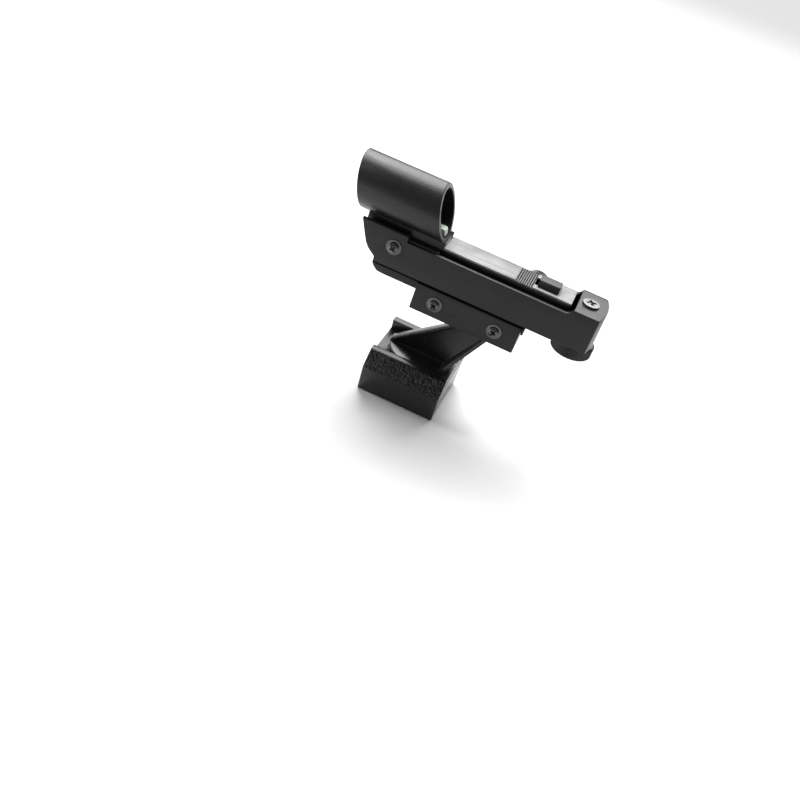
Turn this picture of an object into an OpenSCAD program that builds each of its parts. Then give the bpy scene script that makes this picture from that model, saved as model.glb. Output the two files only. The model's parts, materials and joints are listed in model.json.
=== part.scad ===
// Red-dot finder scope on a dovetail shoe, in millimetres.
// +X runs toward the eye end, +Y to the observer's right, +Z away from the telescope.
// Origin: middle of the line of base bolts, on the crown of the saddle.

/* [Shoe] */
// Radius of the telescope tube under the saddle
tube_r = 80; // [60:1:150]
// Length of the shoe along the telescope
shoe_len = 42.4; // [38:0.2:60]
// Width of the shoe at its widest line
shoe_w = 50.4; // [48:0.2:60]
// Width of the shoe where it meets the tube
shoe_bottom_w = 41.6; // [36:0.2:46]
// Height of the widest line above the crown
shoe_mid = 13.2; // [10:0.1:14]
// Height of the slot floor above the crown
shoe_floor = 16; // [15:0.1:20]
// Distance between the two base bolts
bolt_gap = 24; // [22:0.5:28]
// Radius of the base bolt holes
bolt_r = 2.25; // [2:0.05:2.6]
// Radius of the counterbores for the bolt heads
bolt_head_r = 4.2; // [3.8:0.1:4.8]

/* [Thumbscrew] */
// Place of the thumbscrew along the shoe
thumb_x = 11; // [4:0.5:14]
// Radius of the thumbscrew thread
thumb_r = 2; // [1.5:0.05:2.2]
// Radius of the knurled head
thumb_head_r = 5.5; // [4.5:0.1:7]
// Length of the knurled head
thumb_head_len = 5.8; // [4:0.1:10]
// Travel of the clamping pad out of the slot
pad_travel = 1.4; // [0.8:0.1:1.6]

/* [Stand] */
// Width of the foot along its lower edges
foot_w = 32.8; // [31:0.1:35]
// Width of the foot along its upper edges
foot_top_w = 27.6; // [26:0.1:29]
// Thickness of the foot
foot_h = 4.7; // [4:0.1:6]
// Front tip of the foot
foot_front = -16; // [-20:0.5:-14]
// Rear end of the foot
foot_rear = 21; // [19:0.5:26]
// Height of the underside of the clamp
stand_rise = 49.4; // [42:0.2:60]
// Thickness of the web of the blade
web_t = 4.4; // [3:0.1:5.6]
// Width of the front flange of the blade
flange_w = 6; // [5.8:0.1:8]
// Width of the rear flange where it meets the foot
flange_foot_w = 23; // [16:0.5:26]
// Thickness of the rear flange
flange_t = 2.2; // [1.6:0.1:3]

/* [Clamp] */
// Length of the clamp plates
clamp_len = 56; // [52:0.5:64]
// Front end of the clamp plates
clamp_x = -10.9; // [-11:0.1:-10]
// Height of the clamp plates
clamp_h = 14.5; // [13.5:0.1:18]
// Thickness of the clamp plates
plate_t = 2.8; // [2:0.1:3.4]
// Radius of the clamp screw thread
clamp_screw_r = 1.5; // [1.2:0.05:1.8]
// Distance between the two clamp screws of a side
clamp_screw_gap = 32.3; // [24:0.1:40]

/* [Battery] */
// Radius of the button battery
battery_r = 10; // [8:0.1:10]
// Thickness of the button battery
battery_t = 2.5; // [1.6:0.1:2.5]

/* [Frame] */
// Width over the side plates of the tilting frame
frame_w = 26.2; // [25.8:0.1:32]
// Thickness of the side plates of the frame
frame_t = 2.5; // [1.8:0.1:2.8]
// Height of the side plates behind the step
frame_h = 16.5; // [16:0.1:20]
// Place of the tilt pivot along the frame
pivot_x = -27.8; // [-29:0.1:-26]
// Radius of the shanks the frame tilts on
pivot_r = 2; // [1.8:0.05:2.4]
// Rear face of the end block
block_rear = 79.6; // [79:0.1:84]

/* [Altitude drive] */
// Place of the altitude bolt along the frame
alt_x = 70.5; // [70:0.1:71.5]
// Radius of the altitude bolt
alt_r = 2; // [1.5:0.05:2.2]
// Radius of the altitude knob
alt_knob_r = 10.6; // [8:0.1:12]
// Height of the altitude knob
alt_knob_h = 6.5; // [5:0.1:10]

/* [Azimuth drive] */
// Place of the azimuth screw along the frame
az_x = 41.2; // [36:0.1:41.6]
// Radius of the azimuth screw
az_r = 1.5; // [1.2:0.05:1.6]
// Radius of the azimuth knob
az_knob_r = 7; // [5:0.1:8]
// Width of the azimuth knob
az_knob_w = 5.6; // [4:0.1:8]

/* [Arm] */
// Width of the arm and of its top strip
arm_w = 16.2; // [15.6:0.1:16.4]
// Place of the pivot the arm swings on
swing_x = -14; // [-16:0.5:-12]
// Rear end of the arm
arm_rear = 62.1; // [61.5:0.1:62.6]
// Travel of the switch slider
switch_travel = 1.8; // [1:0.1:1.8]

/* [Sight tube] */
// Outer radius of the sight tube
sight_r = 14; // [12:0.1:17]
// Wall thickness of the sight tube
sight_wall = 3; // [1.5:0.1:3.4]
// Length of the sight tube
sight_len = 43.6; // [36:0.2:46]
// Lean of both tube ends, run over rise
sight_lean = 0.33; // [0:0.01:0.4]

/* [Hidden] */
$fn = 64;
fit = 0.05;
gap = 0.1;
// shoe and foot
foot_bot = shoe_floor + 0.2;
foot_top = foot_bot + foot_h;
shoe_top = foot_top + 1.1;
slot_low = foot_w / 2 + 0.6;
slot_high = foot_top_w / 2 + 1.2;
rail_top = slot_high + 4.5;
saddle_drop = tube_r - sqrt(tube_r * tube_r - shoe_bottom_w * shoe_bottom_w / 4);
foot_slope = (foot_w - foot_top_w) / 2 / foot_h;
thumb_z = foot_bot + 2.4;
pad_half = 1.9;
pad_gap = 0.3;
pad_back = foot_w / 2 + 0.6;
thumb_head_y = shoe_w / 2 + 0.6;
// clamp and base body
clamp_half = frame_w / 2 + 0.5;
clamp_in = clamp_half - plate_t;
clamp_rear = clamp_x + clamp_len;
clamp_top = stand_rise + clamp_h;
clamp_screw_z = stand_rise + 7.3;
clamp_screw_x = [clamp_x + 11.7, clamp_x + 11.7 + clamp_screw_gap];
frame_bot = clamp_top + 1;
house_top = frame_bot - 0.6;
house_bot = house_top - 4;
house_half = frame_w / 2;
frame_in = frame_w / 2 - frame_t;
tongue_half = frame_in - 0.3;
tongue_top = frame_bot + 4.6;
battery_x = -23.4;
cover_top = house_bot + 1.2;
end_low = frame_bot + 4.1;
end_high = frame_bot + 8.1;
end_half = 7;
// frame
pivot_z = frame_bot + 11.5;
side_top = frame_bot + frame_h;
block_top = side_top + 3;
strip_top = block_top;
block_front = 64.5;
cavity_top = block_top - 2.5;
bridge_low = block_top - 4.1;
bridge_top = bridge_low + 2;
lug_r = bridge_low - pivot_z - 0.5;
// drives
knob_top = frame_bot - 1;
az_z = frame_bot + 9.7;
az_knob_y = frame_w / 2 + 0.5;
nut_t = 2.4;
// arm
arm_half = arm_w / 2;
arm_low = frame_bot + 11.6;
deck_top = strip_top - 1.05;
pedestal_low = bridge_top + 0.15;
grip_end = 41.6;
// sight tube
sight_z = strip_top - 0.2 + sight_r;
sight_in = sight_r - sight_wall;
sight_rear = -10.6;
front_lean = sight_lean * 0.8;
lean = atan(sight_lean);

module box(x0, x1, y0, y1, z0, z1) {
    translate([x0, y0, z0])
        cube([x1 - x0, y1 - y0, z1 - z0]);
}

module rod_x(r, x0, x1, y, z) {
    translate([x0, y, z])
        rotate([0, 90, 0])
            cylinder(r = r, h = x1 - x0);
}

module rod_y(r, y0, y1, x, z) {
    translate([x, y1, z])
        rotate([90, 0, 0])
            cylinder(r = r, h = y1 - y0);
}

module rod_z(r, z0, z1, x) {
    translate([x, 0, z0])
        cylinder(r = r, h = z1 - z0);
}

module side_shape(points, y0, y1) {
    translate([0, y1, 0])
        rotate([90, 0, 0])
            linear_extrude(height = y1 - y0)
                polygon(points);
}

module end_shape(points, x0, x1) {
    translate([x0, 0, 0])
        rotate([90, 0, 90])
            linear_extrude(height = x1 - x0)
                polygon(points);
}

module both_sides() {
    children();
    mirror([0, 1, 0])
        children();
}

// cross recess in a screw head, cut along the local Z axis from the top
module cross_cut(size, depth) {
    translate([-size / 2, -0.35, -depth])
        cube([size, 0.7, depth + 1]);
    translate([-0.35, -size / 2, -depth])
        cube([0.7, size, depth + 1]);
}

// screw lying along Y on the right side, head outward from y_seat
module side_screw(x, z, r, y_tip, y_seat, head_r, head_h) {
    difference() {
        union() {
            rod_y(r, y_tip, y_seat + 0.5, x, z);
            rod_y(head_r, y_seat, y_seat + head_h, x, z);
        }
        translate([x, y_seat + head_h, z])
            rotate([-90, 0, 0])
                cross_cut(head_r * 1.2, 0.8);
    }
}

module base_shoe() {
    half = shoe_bottom_w / 2;
    low = -saddle_drop - 0.6;
    color("black")
        difference() {
            end_shape([[-half, low], [-shoe_w / 2, shoe_mid], [-rail_top, shoe_top],
                [-slot_high, shoe_top], [-slot_low, shoe_floor], [slot_low, shoe_floor],
                [slot_high, shoe_top], [rail_top, shoe_top], [shoe_w / 2, shoe_mid], [half, low]],
                -shoe_len / 2, shoe_len / 2);
            rod_x(tube_r, -shoe_len, shoe_len, 0, -tube_r);
            for (x = [-bolt_gap / 2, bolt_gap / 2]) {
                rod_z(bolt_r, -1, shoe_floor + 1, x);
                rod_z(bolt_head_r, shoe_floor - 5, shoe_floor + 1, x);
            }
            rod_y(thumb_r + fit, pad_back, shoe_w, thumb_x, thumb_z);
            box(thumb_x - pad_half - gap, thumb_x + pad_half + gap, 0, pad_back + pad_travel + gap,
                thumb_z - pad_half - gap, thumb_z + pad_half + gap);
        }
}

module thumb_pad() {
    low = thumb_z - pad_half;
    high = thumb_z + pad_half;
    color("silver")
        difference() {
            end_shape([[foot_top_w / 2 + (foot_top - low) * foot_slope + pad_gap, low], [pad_back, low],
                [pad_back, high], [foot_top_w / 2 + (foot_top - high) * foot_slope + pad_gap, high]],
                thumb_x - pad_half, thumb_x + pad_half);
            rod_y(1 + fit, pad_back - 0.8, pad_back + 1, thumb_x, thumb_z);
        }
}

module thumbscrew() {
    color("silver") {
        rod_y(1, pad_back - 0.75, pad_back + 0.5, thumb_x, thumb_z);
        rod_y(thumb_r, pad_back + fit, thumb_head_y + 0.5, thumb_x, thumb_z);
        rod_y(thumb_r + 1, thumb_head_y - 1, thumb_head_y + 0.5, thumb_x, thumb_z);
        rod_y(thumb_head_r, thumb_head_y, thumb_head_y + thumb_head_len, thumb_x, thumb_z);
    }
}

module foot() {
    nose_r = foot_w / 2 + 0.06;
    intersection() {
        end_shape([[-foot_w / 2, foot_bot], [foot_w / 2, foot_bot], [foot_top_w / 2, foot_top],
            [-foot_top_w / 2, foot_top]], foot_front, foot_rear);
        union() {
            rod_z(nose_r, foot_bot - 1, foot_top + 1, foot_front + nose_r);
            box(foot_front + nose_r, foot_rear, -nose_r, nose_r, foot_bot - 1, foot_top + 1);
        }
    }
}

module stand() {
    rise = stand_rise - foot_top;
    front_run = 34.8;
    rear_run = 17.3;
    rear_low = foot_rear - 4.1;
    front_top = foot_front - 0.1 + front_run;
    rear_top = rear_low + rear_run;
    rear_angle = atan2(rise, rear_run);
    rear_len = sqrt(rise * rise + rear_run * rear_run);
    color("dimgray")
        difference() {
            union() {
                foot();
                side_shape([[foot_front, foot_top - 0.5], [foot_front - 0.1, foot_top + 1],
                    [front_top, stand_rise], [front_top, stand_rise + 1], [rear_top, stand_rise + 1],
                    [rear_top, stand_rise], [rear_low, foot_top], [rear_low, foot_top - 0.5]],
                    -web_t / 2, web_t / 2);
                side_shape([[foot_front, foot_top - 0.5], [foot_front - 0.1, foot_top + 1],
                    [front_top, stand_rise], [front_top, stand_rise + 1], [front_top + 2.4, stand_rise + 1],
                    [front_top + 2.4, stand_rise], [foot_front + 2.3, foot_top + 1],
                    [foot_front + 2.3, foot_top - 0.5]],
                    -flange_w / 2, flange_w / 2);
                translate([rear_low, 0, foot_top])
                    rotate([0, -rear_angle, 0])
                        linear_extrude(height = flange_t)
                            polygon([[-1.5, -flange_foot_w / 2], [0, -flange_foot_w / 2],
                                [rear_len + 1, -flange_w / 2], [rear_len + 1, flange_w / 2],
                                [0, flange_foot_w / 2], [-1.5, flange_foot_w / 2]]);
                box(clamp_x, clamp_rear, -clamp_in + gap, clamp_in - gap, stand_rise, house_bot - gap);
            }
            for (x = clamp_screw_x)
                both_sides()
                    rod_y(clamp_screw_r + fit, clamp_in - 8, clamp_in + 1, x, clamp_screw_z);
        }
}

// plate on the right; its ridge keys into the track of the base body
module clamp_plate() {
    difference() {
        union() {
            box(clamp_x, clamp_rear, clamp_in, clamp_half, stand_rise, clamp_top);
            box(clamp_x, clamp_rear, clamp_in - 0.8, clamp_in + 0.1, house_bot + 1.3, house_bot + 2.7);
        }
        for (x = clamp_screw_x)
            rod_y(clamp_screw_r + fit, clamp_in - 1, clamp_half + 1, x, clamp_screw_z);
    }
}

module clamp_plate_left() {
    color("black")
        mirror([0, 1, 0])
            clamp_plate();
}

module clamp_plate_right() {
    color("black")
        clamp_plate();
}

module clamp_screws() {
    color("black")
        for (x = clamp_screw_x)
            both_sides()
                side_screw(x, clamp_screw_z, clamp_screw_r, clamp_in - 7, clamp_half + 0.5, 2.6, 1.7);
}

module clamp_washers() {
    color("black")
        for (x = clamp_screw_x)
            both_sides()
                difference() {
                    rod_y(4, clamp_half, clamp_half + 0.5, x, clamp_screw_z);
                    rod_y(clamp_screw_r + fit, clamp_half - 1, clamp_half + 1, x, clamp_screw_z);
                }
}

module house_outline(y0, y1) {
    side_shape([[-36, house_top], [-35.95, house_bot + 4], [-34.9, house_bot + 2.3],
        [-32.7, house_bot + 0.4], [-29.3, house_bot], [clamp_x, house_bot], [clamp_x, house_top]],
        y0, y1);
}

module base_body() {
    color("black")
        difference() {
            union() {
                house_outline(-house_half, house_half);
                box(clamp_x - 1, clamp_rear + 0.3, -clamp_in + gap, clamp_in - gap, house_bot, house_top);
                box(clamp_rear + 0.3, clamp_rear + 1.5, -house_half, house_half, house_bot + 0.3,
                    house_top);
                box(-33, 56, -tongue_half, tongue_half, house_top - 0.5, tongue_top);
                side_shape([[48, house_top], [54, end_high], [75, end_high], [75, end_low],
                    [58.6, end_low], [56.5, house_top]], -end_half, end_half);
                both_sides() {
                    rod_y(lug_r, tongue_half - 5, tongue_half, pivot_x, pivot_z);
                    box(pivot_x - lug_r, pivot_x + lug_r, tongue_half - 5, tongue_half, tongue_top - 1,
                        pivot_z);
                }
            }
            // track grooves for the clamp ridges
            both_sides()
                box(clamp_x - gap, clamp_rear, clamp_in - 0.9, clamp_in + 1, house_bot + 1.2,
                    house_bot + 2.8);
            // room for the battery, its upper contact and the sliding cover
            rod_z(battery_r + 0.15, cover_top - 0.5, cover_top + gap + battery_t + gap, battery_x);
            box(battery_x - 6, battery_x + 6, -2.5, 2.5, cover_top, house_top + 1.2);
            box(-40, -12, -battery_r - 1.7, battery_r + 1.7, house_bot + 0.5, cover_top + gap);
            box(-40, -12, -battery_r - 0.7, battery_r + 0.7, house_bot - 1, cover_top);
            // threads for the pivot screws
            both_sides()
                rod_y(1.5 + fit, tongue_half - 6, tongue_half + 1, pivot_x, pivot_z);
            // seat of the altitude nut with clear room for the rocking bolt
            rod_z(alt_r + 0.5, end_low - 1, end_high + 1, alt_x);
            translate([alt_x, 0, end_low - 1])
                cylinder(r = 4.04 + gap, h = nut_t + 1, $fn = 6);
        }
}

module battery() {
    color("silver")
        rod_z(battery_r, cover_top + gap, cover_top + gap + battery_t, battery_x);
}

module battery_contacts() {
    low = cover_top + gap + battery_t;
    color("gold") {
        box(battery_x - 5.9, battery_x + 5.9, -2.4, 2.4, house_top + 0.8, house_top + 1.2);
        box(battery_x + 5.1, battery_x + 5.9, -2.4, 2.4, low + fit, house_top + 1);
        box(battery_x - 1, battery_x + 5.9, -2.4, 2.4, low + fit, low + 0.3);
    }
}

module battery_cover() {
    color("black")
        intersection() {
            house_outline(-house_half, house_half);
            union() {
                box(-40, -12.2, -battery_r - 0.6, battery_r + 0.6, house_bot, cover_top);
                box(-40, -12.2, -battery_r - 1.6, battery_r + 1.6, house_bot + 0.6, cover_top);
            }
        }
}

module pivot_screws() {
    seat = frame_w / 2 + 0.5;
    color("black")
        both_sides() {
            side_screw(pivot_x, pivot_z, 1.5, tongue_half - 4.8, seat, 2.7, 1.8);
            rod_y(pivot_r, tongue_half + 0.02, seat + 0.5, pivot_x, pivot_z);
        }
}

module pivot_washers() {
    color("black")
        both_sides()
            difference() {
                rod_y(4, frame_w / 2 + fit, frame_w / 2 + 0.5, pivot_x, pivot_z);
                rod_y(pivot_r + 0.02, frame_w / 2 - 1, frame_w / 2 + 1, pivot_x, pivot_z);
            }
}

module altitude_nut() {
    color("silver")
        difference() {
            translate([alt_x, 0, end_low])
                cylinder(r = 4.04, h = nut_t, $fn = 6);
            rod_z(alt_r + 0.45, end_low - 1, end_low + nut_t + 1, alt_x);
        }
}

// open coil made of half rings leaning up and down in turn
module altitude_spring() {
    coils = 6;
    wire = 0.35;
    mean_r = alt_r + 1.25;
    rise = (cavity_top - end_high - 2 * wire - 2 * fit) / coils / 2;
    tilt = asin(rise / 2 / mean_r);
    color("silver")
        for (i = [0 : coils * 2 - 1])
            translate([alt_x, 0, end_high + fit + wire + rise * (i + 0.5)])
                rotate([i % 2 == 0 ? tilt : -tilt, 0, 0])
                    rotate([0, 0, i % 2 == 0 ? -90 : 90])
                        rotate_extrude(angle = 180)
                            translate([mean_r, 0])
                                circle(r = wire, $fn = 24);
}

module block_body() {
    half = frame_w / 2;
    corner_x = block_rear - 3.4;
    intersection() {
        union() {
            box(block_front, corner_x, -half, half, frame_bot, block_top);
            box(block_front, block_rear, -half + 3, half - 3, frame_bot, block_top);
            both_sides()
                translate([corner_x, half - 3, frame_bot])
                    cylinder(r = 3, h = block_top - frame_bot);
        }
        rod_z(41, frame_bot - 1, block_top + 1, block_rear - 41);
        union() {
            box(block_front, block_rear - 3, -half, half, frame_bot, block_top);
            box(block_front, block_rear, -half, half, frame_bot + 3, block_top);
            rod_y(3, -half, half, block_rear - 3, frame_bot + 3);
        }
    }
}

module frame() {
    half = frame_w / 2;
    color("black")
        difference() {
            union() {
                both_sides()
                    side_shape([[-47.2, block_top], [-45.6, block_top - 3.8], [-42.2, block_top - 11.35],
                        [-39.95, frame_bot + 5.2], [-36.1, frame_bot + 2.4], [-35.9, frame_bot],
                        [block_front + 1, frame_bot], [block_front + 1, block_top],
                        [block_front, block_top], [block_front - 0.6, side_top + 1.8],
                        [block_front - 1.7, side_top + 0.6], [block_front - 3.5, side_top],
                        [-22.3, side_top], [-22.3, block_top]], frame_in, half);
                box(-44.6, -6, -frame_in - 0.5, frame_in + 0.5, bridge_low, bridge_top);
                block_body();
            }
            rod_z(3.5 + fit, bridge_low - 1, bridge_top + 1, swing_x);
            box(block_front + 1.5, 76.5, -end_half - 0.6, end_half + 0.6, frame_bot - 1, cavity_top);
            box(block_front - 1, 70, -end_half - 0.6, end_half + 0.6, frame_bot - 1, end_high + 3.2);
            rod_z(alt_r + fit, cavity_top - 1, block_top + 1, alt_x);
            both_sides()
                rod_y(pivot_r + fit, frame_in - 1, half + 1, pivot_x, pivot_z);
            rod_y(az_r + fit, frame_in - 1, half + 1, az_x, az_z);
            rod_y(az_r + fit, -frame_in - 1.2, -frame_in + 1, az_x, az_z);
        }
}

module altitude_bolt() {
    color("silver")
        difference() {
            union() {
                rod_z(alt_r, knob_top - alt_knob_h + 0.5, block_top + 0.5, alt_x);
                rod_z(4.3, block_top + fit, block_top + 1.1, alt_x);
            }
            translate([alt_x, 0, block_top + 1.1])
                cross_cut(4.6, 0.6);
        }
}

module altitude_knob() {
    low = knob_top - alt_knob_h;
    color("black")
        difference() {
            union() {
                rod_z(alt_knob_r, low + 0.6, knob_top - 0.6, alt_x);
                rod_z(alt_knob_r - 0.6, low, knob_top, alt_x);
            }
            rod_z(alt_r, low + 0.5, knob_top + 1, alt_x);
        }
}

module azimuth_screw() {
    color("silver")
        rod_y(az_r, -frame_in - 1, az_knob_y + az_knob_w - 1.5, az_x, az_z);
}

module azimuth_knob() {
    out = az_knob_y + az_knob_w;
    color("black")
        difference() {
            union() {
                rod_y(az_knob_r, az_knob_y, out - 0.4, az_x, az_z);
                rod_y(az_knob_r - 0.5, az_knob_y + 1, out, az_x, az_z);
                rod_y(az_r + 1.5, frame_w / 2 + fit, az_knob_y + 1, az_x, az_z);
            }
            rod_y(az_r, frame_w / 2 - 1, out - 1.5, az_x, az_z);
        }
}

module azimuth_clip() {
    color("silver")
        difference() {
            rod_y(az_r + 1.1, frame_in - 0.8, frame_in - fit, az_x, az_z);
            rod_y(az_r, frame_in - 2, frame_in + 1, az_x, az_z);
        }
}

module azimuth_nut() {
    color("silver")
        difference() {
            translate([az_x, nut_t / 2, az_z])
                rotate([90, 0, 0])
                    cylinder(r = 3.18, h = nut_t, $fn = 6);
            rod_y(az_r + 0.12, -nut_t, nut_t, az_x, az_z);
        }
}

module arm() {
    color("black")
        difference() {
            union() {
                // pedestal under the sight tube, with the boss the arm swings on
                box(-46, -5.2, -arm_half, arm_half, pedestal_low, strip_top + 2.4);
                box(-6, -3, -arm_half, arm_half, pedestal_low, deck_top);
                rod_z(3.5, bridge_low - 0.1, pedestal_low + 0.5, swing_x);
                // channel behind it
                box(-5.2, grip_end - 0.7, -arm_half, arm_half, deck_top - 1.5, deck_top);
                box(56.1, arm_rear, -arm_half, arm_half, deck_top - 1.5, deck_top);
                both_sides()
                    box(-5.2, arm_rear, arm_half - 2, arm_half, arm_low, deck_top);
                box(arm_rear - 2, arm_rear, -arm_half, arm_half, arm_low, deck_top);
                both_sides()
                    box(45.6, arm_rear - 1, arm_half - 2.9, arm_half - 1, arm_low, arm_low + 1.7);
                // carrier of the azimuth nut
                box(az_x - 4, az_x + 4, -5, 5, az_z - 3.7, arm_low + 1.7);
                box(az_x - 4, az_x + 4, -arm_half + 1, arm_half - 1, arm_low, arm_low + 1.7);
            }
            rod_x(sight_r + 0.02, -60, 0, 0, sight_z);
            rod_z(1.5 + fit, bridge_low - 1, pedestal_low + 1.1, swing_x);
            rod_y(az_r + 0.3, -6, 6, az_x, az_z);
            box(az_x - 3.25, az_x + 3.25, -nut_t / 2 - fit, nut_t / 2 + fit, az_z - 5, az_z + 2.85);
        }
}

module arm_pivot_screw() {
    seat = bridge_low - 0.55;
    color("black")
        difference() {
            union() {
                rod_z(1.5, seat - 0.5, pedestal_low + 1, swing_x);
                rod_z(2.6, seat - 1.8, seat, swing_x);
            }
            translate([swing_x, 0, seat - 1.8])
                rotate([180, 0, 0])
                    cross_cut(3.2, 0.8);
        }
}

module arm_pivot_washer() {
    color("silver")
        difference() {
            rod_z(4.8, bridge_low - 0.55, bridge_low - 0.1, swing_x);
            rod_z(1.5 + fit, bridge_low - 2, bridge_low + 1, swing_x);
        }
}

module top_strip() {
    color("lightgray")
        difference() {
            box(-5.1, arm_rear, -arm_half, arm_half, strip_top - 1, strip_top);
            box(grip_end - 9, grip_end, -arm_half - 1, arm_half + 1, strip_top - 0.5, strip_top + 1);
            box(grip_end - 0.1, grip_end + 11.5, -4, 4, strip_top - 2, strip_top + 1);
        }
}

module grip_pad() {
    color("dimgray")
        box(grip_end - 9, grip_end, -arm_half, arm_half, strip_top - 0.5, strip_top);
}

// slab across the sight tube between two parallel leaning planes
module leaning_slab(x0, x1, slant = sight_lean) {
    translate([0, 0, sight_z])
        multmatrix([[1, 0, -slant, 0], [0, 1, 0, 0], [0, 0, 1, 0], [0, 0, 0, 1]])
            box(x0, x1, -30, 30, -40, 40);
}

module sight_tube() {
    color("black")
        intersection() {
            leaning_slab(sight_rear - 2 * sight_len, sight_rear);
            leaning_slab(sight_rear - sight_len, sight_rear + sight_len, front_lean);
            difference() {
                rod_x(sight_r, -90, 20, 0, sight_z);
                rod_x(sight_in, -91, 21, 0, sight_z);
            }
        }
}

module lens() {
    front = sight_rear - sight_len + 4.4;
    color("lightblue")
        intersection() {
            leaning_slab(front, front + 2.6);
            rod_x(sight_in - 0.02, -90, 20, 0, sight_z);
        }
}

module lens_ring() {
    front = sight_rear - sight_len + 3;
    color("dimgray")
        intersection() {
            leaning_slab(front, front + 1.38);
            difference() {
                rod_x(sight_in - 0.02, -90, 20, 0, sight_z);
                rod_x(sight_in - 1.3, -91, 21, 0, sight_z);
            }
        }
}

module led_holder() {
    color("gainsboro")
        difference() {
            intersection() {
                leaning_slab(sight_rear - 6, sight_rear - 0.4);
                box(-30, 0, -2.6, 2.6, sight_z - sight_in - 1, sight_z - sight_in + 3.4);
                rod_x(sight_in - 0.02, -90, 20, 0, sight_z);
            }
            rod_x(1.02, -30, -10.3, 0, sight_z - sight_in + 2);
        }
}

module led() {
    color("red")
        rod_x(1, -14, -10.4, 0, sight_z - sight_in + 2);
}

module circuit_board() {
    color("green")
        box(45.6, arm_rear - 2.1, -arm_half + 2.1, arm_half - 2.1, arm_low + 1.75, arm_low + 3.2);
}

module switch_body() {
    color("dimgray")
        difference() {
            box(grip_end - 0.6, 56, -5.2, 5.2, arm_low + 3.25, deck_top - fit);
            box(grip_end, grip_end + 11.4, -4, 4, deck_top - 1.9, deck_top + 1);
        }
}

module switch_slider() {
    front = grip_end + 0.1 + switch_travel;
    color("black") {
        end_shape([[-5.8, strip_top + fit], [5.8, strip_top + fit], [4.9, strip_top + 1.6],
            [3.2, strip_top + 3], [-3.2, strip_top + 3], [-4.9, strip_top + 1.6]], front, 54.2);
        box(front, grip_end + 11, -3.8, 3.8, deck_top - 1.8, strip_top + 0.5);
    }
}

base_shoe();
thumb_pad();
thumbscrew();
stand();
clamp_plate_left();
clamp_plate_right();
clamp_screws();
clamp_washers();
base_body();
battery();
battery_contacts();
battery_cover();
pivot_screws();
pivot_washers();
altitude_nut();
altitude_spring();
frame();
altitude_bolt();
altitude_knob();
azimuth_screw();
azimuth_knob();
azimuth_clip();
azimuth_nut();
arm();
arm_pivot_screw();
arm_pivot_washer();
top_strip();
grip_pad();
sight_tube();
lens();
lens_ring();
led_holder();
led();
circuit_board();
switch_body();
switch_slider();
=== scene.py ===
"""Looks for a red-dot finder scope: soft edges, knurled knobs, cross-head screws, satin black finishes."""

import json
import math

import bmesh
import bpy
from bpy.props import (
    EnumProperty,
    FloatProperty,
    FloatVectorProperty,
    IntProperty,
    PointerProperty,
)
from mathutils import Matrix, Vector


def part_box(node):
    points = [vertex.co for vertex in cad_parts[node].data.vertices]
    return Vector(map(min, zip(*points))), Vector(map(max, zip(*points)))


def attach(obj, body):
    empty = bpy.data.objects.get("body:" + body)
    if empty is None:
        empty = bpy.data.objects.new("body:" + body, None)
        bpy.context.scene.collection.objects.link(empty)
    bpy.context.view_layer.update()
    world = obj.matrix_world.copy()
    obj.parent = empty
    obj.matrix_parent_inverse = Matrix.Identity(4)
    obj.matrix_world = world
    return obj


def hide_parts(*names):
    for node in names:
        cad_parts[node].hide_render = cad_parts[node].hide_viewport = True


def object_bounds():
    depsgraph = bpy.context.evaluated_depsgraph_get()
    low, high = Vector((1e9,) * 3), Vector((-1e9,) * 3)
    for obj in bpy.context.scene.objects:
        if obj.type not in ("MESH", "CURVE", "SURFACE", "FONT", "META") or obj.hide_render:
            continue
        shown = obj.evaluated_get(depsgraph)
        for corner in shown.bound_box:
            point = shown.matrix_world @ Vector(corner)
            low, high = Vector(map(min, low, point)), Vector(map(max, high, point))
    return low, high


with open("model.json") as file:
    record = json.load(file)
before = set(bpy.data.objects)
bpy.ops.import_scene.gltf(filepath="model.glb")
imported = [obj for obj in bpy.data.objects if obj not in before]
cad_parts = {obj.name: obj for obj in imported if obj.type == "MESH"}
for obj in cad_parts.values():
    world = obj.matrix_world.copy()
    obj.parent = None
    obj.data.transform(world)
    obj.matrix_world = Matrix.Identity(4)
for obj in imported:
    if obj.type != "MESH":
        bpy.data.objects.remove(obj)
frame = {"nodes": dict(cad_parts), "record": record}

bl_info = {
    "name": "Red-dot Finder Looks",
    "version": (1, 0, 0),
    "blender": (4, 5, 0),
    "location": "View3D > Sidebar > Finder",
    "description": "Builds the visible pieces of a red-dot finder scope round its fixed parts",
    "category": "Object",
}

MM = 0.001
CAD_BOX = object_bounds()
BODY_OF = {
    node: body
    for body, members in frame["record"]["behaviour"]["bodies"].items()
    for node in members
}
SLOT_OF = {row["node"]: row["material_slot"] for row in frame["record"]["subparts"]}


# ---------------------------------------------------------------- shader node groups


def new_group(name, inputs, outputs):
    """A shader node group with float inputs (name, default), a Vector input and the named outputs."""
    group = bpy.data.node_groups.new(name, "ShaderNodeTree")
    group.interface.new_socket(name="Vector", in_out="INPUT", socket_type="NodeSocketVector")
    for title, value in inputs:
        item = group.interface.new_socket(name=title, in_out="INPUT", socket_type="NodeSocketFloat")
        item.default_value = value
    for title in outputs:
        group.interface.new_socket(name=title, in_out="OUTPUT", socket_type="NodeSocketFloat")
    enter = group.nodes.new("NodeGroupInput")
    leave = group.nodes.new("NodeGroupOutput")
    return group, enter, leave


def feed(tree, socket, value):
    """Links another socket to this one, or sets it to a plain value."""
    if isinstance(value, bpy.types.NodeSocket):
        tree.links.new(value, socket)
    else:
        socket.default_value = value


def math_node(tree, operation, *values):
    """A Math node fed by sockets or plain numbers; returns its output socket."""
    node = tree.nodes.new("ShaderNodeMath")
    node.operation = operation
    for socket, value in zip(node.inputs, values):
        feed(tree, socket, value)
    return node.outputs[0]


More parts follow.
